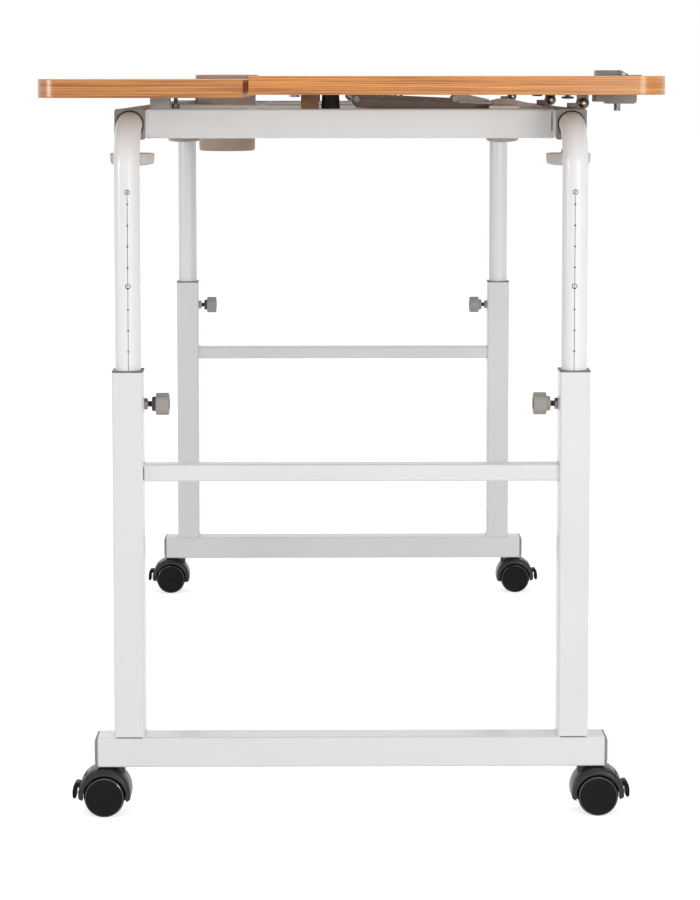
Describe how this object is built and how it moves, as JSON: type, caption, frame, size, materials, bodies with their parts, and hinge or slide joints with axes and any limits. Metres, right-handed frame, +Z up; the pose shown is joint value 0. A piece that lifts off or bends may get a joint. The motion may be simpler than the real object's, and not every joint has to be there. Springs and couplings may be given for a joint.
{
  "type": "rolling computer desk",
  "caption": "Rolling desk with a fixed board, a tilting board on a prop, a cup holder, height-adjustable tube legs with lock knobs, and swivel casters.",
  "frame": {"origin": "on the floor, under the middle of the desk's bounding box", "axes": "+Z up; Y along the desk's length, with the near leg at -Y; X across its depth, with the fixed board at -X and the tilt hinges at +X"},
  "size_m": [0.601, 1.2, 0.739],
  "materials": {
    "white_steel": "smooth white powder coat",
    "taupe_plastic": "satin warm grey",
    "black_nylon": "satin black",
    "wood": "satin honey-coloured laminate with straight grain",
    "brown_blocks": "dull brown",
    "black_rubber": "dull black",
    "zinc": "bright zinc plate",
    "dark_steel": "dark oiled steel"
  },
  "bodies": {
    "near_leg": {"near_post_left": "white_steel", "near_post_right": "white_steel", "near_crossbar": "white_steel", "near_foot_beam": "white_steel", "near_foot_caps": "taupe_plastic", "near_post_bushes": "taupe_plastic"},
    "near_tubes": {"near_tube_left": "white_steel", "near_tube_right": "white_steel", "near_tube_plugs": "black_nylon"},
    "top_frame": {"left_rail": "white_steel", "right_rail": "white_steel", "near_apron": "white_steel", "far_apron": "white_steel", "middle_beam": "white_steel", "rail_bushes": "taupe_plastic", "fixed_board": "wood", "support_blocks": "brown_blocks", "rubber_bumpers": "black_rubber", "board_screws": "zinc", "hinge_bases": "dark_steel", "hinge_pins": "zinc", "prop_brackets": "dark_steel"},
    "far_tubes": {"far_tube_left": "white_steel", "far_tube_right": "white_steel", "far_tube_plugs": "black_nylon"},
    "far_leg": {"far_post_left": "white_steel", "far_post_right": "white_steel", "far_crossbar": "white_steel", "far_foot_beam": "white_steel", "far_foot_caps": "taupe_plastic", "far_post_bushes": "taupe_plastic"},
    "tilt_board": {"tilting_board": "wood", "hinge_leaves": "dark_steel", "hinge_screws": "zinc", "prop_racks": "dark_steel", "edge_stop": "taupe_plastic"},
    "prop": {"prop_arms": "dark_steel", "prop_rod": "zinc"},
    "stop_screw": {"edge_stop_screw": "zinc"},
    "cup": {"cup_holder": "taupe_plastic"},
    "lock_knob_near_left": {"lock_knob_near_left": "taupe_plastic"},
    "rail_knob_near_left": {"rail_knob_near_left": "taupe_plastic"},
    "caster_near_left": {"caster_near_left": "black_nylon"},
    "wheels_near_left": {"wheels_near_left": "black_nylon"},
    "brake_near_left": {"brake_near_left": "black_nylon"},
    "lock_knob_near_right": {"lock_knob_near_right": "taupe_plastic"},
    "rail_knob_near_right": {"rail_knob_near_right": "taupe_plastic"},
    "caster_near_right": {"caster_near_right": "black_nylon"},
    "wheels_near_right": {"wheels_near_right": "black_nylon"},
    "brake_near_right": {"brake_near_right": "black_nylon"},
    "lock_knob_far_left": {"lock_knob_far_left": "taupe_plastic"},
    "rail_knob_far_left": {"rail_knob_far_left": "taupe_plastic"},
    "caster_far_left": {"caster_far_left": "black_nylon"},
    "wheels_far_left": {"wheels_far_left": "black_nylon"},
    "brake_far_left": {"brake_far_left": "black_nylon"},
    "lock_knob_far_right": {"lock_knob_far_right": "taupe_plastic"},
    "rail_knob_far_right": {"rail_knob_far_right": "taupe_plastic"},
    "caster_far_right": {"caster_far_right": "black_nylon"},
    "wheels_far_right": {"wheels_far_right": "black_nylon"},
    "brake_far_right": {"brake_far_right": "black_nylon"}
  },
  "joints": [
    {"name": "near_height", "type": "slide", "parent": "near_leg", "child": "near_tubes", "axis": [0, 0, 1], "range_m": [-0.175, 0.105]},
    {"name": "near_spread", "type": "slide", "parent": "near_tubes", "child": "top_frame", "axis": [0, 1, 0], "range_m": [0, 0.15]},
    {"name": "far_spread", "type": "slide", "parent": "top_frame", "child": "far_tubes", "axis": [0, 1, 0], "range_m": [0, 0.15]},
    {"name": "far_height", "type": "slide", "parent": "far_tubes", "child": "far_leg", "axis": [0, 0, -1], "range_m": [-0.175, 0.105]},
    {"name": "board_tilt", "type": "hinge", "parent": "top_frame", "child": "tilt_board", "pos_m": [0.233, 0, 0.706], "axis": [0, 1, 0], "range_deg": [0, 45]},
    {"name": "prop_swing", "type": "hinge", "parent": "top_frame", "child": "prop", "pos_m": [0.1515, 0, 0.703], "axis": [0, 1, 0], "range_deg": [0, 68]},
    {"name": "cup_lift", "type": "slide", "parent": "top_frame", "child": "cup", "axis": [0, 0, 1], "range_m": [0, 0.11]},
    {"name": "stop_screw_turn", "type": "hinge", "parent": "tilt_board", "child": "stop_screw", "pos_m": [0.278, -0.375, 0.7], "axis": [0, 0, -1], "range_deg": [0, 360]},
    {"name": "lock_turn_near_left", "type": "hinge", "parent": "near_leg", "child": "lock_knob_near_left", "pos_m": [-0.1885, -0.526, 0.411], "axis": [1, 0, 0], "range_deg": [0, 360]},
    {"name": "rail_lock_turn_near_left", "type": "hinge", "parent": "top_frame", "child": "rail_knob_near_left", "pos_m": [-0.2195, -0.456, 0.65], "axis": [0, 0, -1], "range_deg": [0, 360]},
    {"name": "caster_swivel_near_left", "type": "hinge", "parent": "near_leg", "child": "caster_near_left", "pos_m": [-0.2315, -0.526, 0.05], "axis": [0, 0, 1], "continuous": true},
    {"name": "wheels_roll_near_left", "type": "hinge", "parent": "caster_near_left", "child": "wheels_near_left", "pos_m": [-0.245, -0.526, 0.02], "axis": [0, 1, 0], "continuous": true},
    {"name": "brake_press_near_left", "type": "hinge", "parent": "caster_near_left", "child": "brake_near_left", "pos_m": [-0.2687, -0.526, 0.027], "axis": [0, -1, 0], "range_deg": [0, 10]},
    {"name": "lock_turn_near_right", "type": "hinge", "parent": "near_leg", "child": "lock_knob_near_right", "pos_m": [0.1885, -0.526, 0.411], "axis": [-1, 0, 0], "range_deg": [0, 360]},
    {"name": "rail_lock_turn_near_right", "type": "hinge", "parent": "top_frame", "child": "rail_knob_near_right", "pos_m": [0.2195, -0.456, 0.65], "axis": [0, 0, -1], "range_deg": [0, 360]},
    {"name": "caster_swivel_near_right", "type": "hinge", "parent": "near_leg", "child": "caster_near_right", "pos_m": [0.2315, -0.526, 0.05], "axis": [0, 0, 1], "continuous": true},
    {"name": "wheels_roll_near_right", "type": "hinge", "parent": "caster_near_right", "child": "wheels_near_right", "pos_m": [0.245, -0.526, 0.02], "axis": [0, 1, 0], "continuous": true},
    {"name": "brake_press_near_right", "type": "hinge", "parent": "caster_near_right", "child": "brake_near_right", "pos_m": [0.2687, -0.526, 0.027], "axis": [0, 1, 0], "range_deg": [0, 10]},
    {"name": "lock_turn_far_left", "type": "hinge", "parent": "far_leg", "child": "lock_knob_far_left", "pos_m": [-0.1885, 0.526, 0.411], "axis": [1, 0, 0], "range_deg": [0, 360]},
    {"name": "rail_lock_turn_far_left", "type": "hinge", "parent": "top_frame", "child": "rail_knob_far_left", "pos_m": [-0.2195, 0.456, 0.65], "axis": [0, 0, -1], "range_deg": [0, 360]},
    {"name": "caster_swivel_far_left", "type": "hinge", "parent": "far_leg", "child": "caster_far_left", "pos_m": [-0.2315, 0.526, 0.05], "axis": [0, 0, 1], "continuous": true},
    {"name": "wheels_roll_far_left", "type": "hinge", "parent": "caster_far_left", "child": "wheels_far_left", "pos_m": [-0.245, 0.526, 0.02], "axis": [0, 1, 0], "continuous": true},
    {"name": "brake_press_far_left", "type": "hinge", "parent": "caster_far_left", "child": "brake_far_left", "pos_m": [-0.2687, 0.526, 0.027], "axis": [0, -1, 0], "range_deg": [0, 10]},
    {"name": "lock_turn_far_right", "type": "hinge", "parent": "far_leg", "child": "lock_knob_far_right", "pos_m": [0.1885, 0.526, 0.411], "axis": [-1, 0, 0], "range_deg": [0, 360]},
    {"name": "rail_lock_turn_far_right", "type": "hinge", "parent": "top_frame", "child": "rail_knob_far_right", "pos_m": [0.2195, 0.456, 0.65], "axis": [0, 0, -1], "range_deg": [0, 360]},
    {"name": "caster_swivel_far_right", "type": "hinge", "parent": "far_leg", "child": "caster_far_right", "pos_m": [0.2315, 0.526, 0.05], "axis": [0, 0, 1], "continuous": true},
    {"name": "wheels_roll_far_right", "type": "hinge", "parent": "caster_far_right", "child": "wheels_far_right", "pos_m": [0.245, 0.526, 0.02], "axis": [0, 1, 0], "continuous": true},
    {"name": "brake_press_far_right", "type": "hinge", "parent": "caster_far_right", "child": "brake_far_right", "pos_m": [0.2687, 0.526, 0.027], "axis": [0, 1, 0], "range_deg": [0, 10]}
  ],
  "couplings": [
    {"joint": "far_height", "follows": "near_height", "ratio": 1},
    {"joint": "prop_swing", "follows": "board_tilt", "ratio": 1.5}
  ]
}
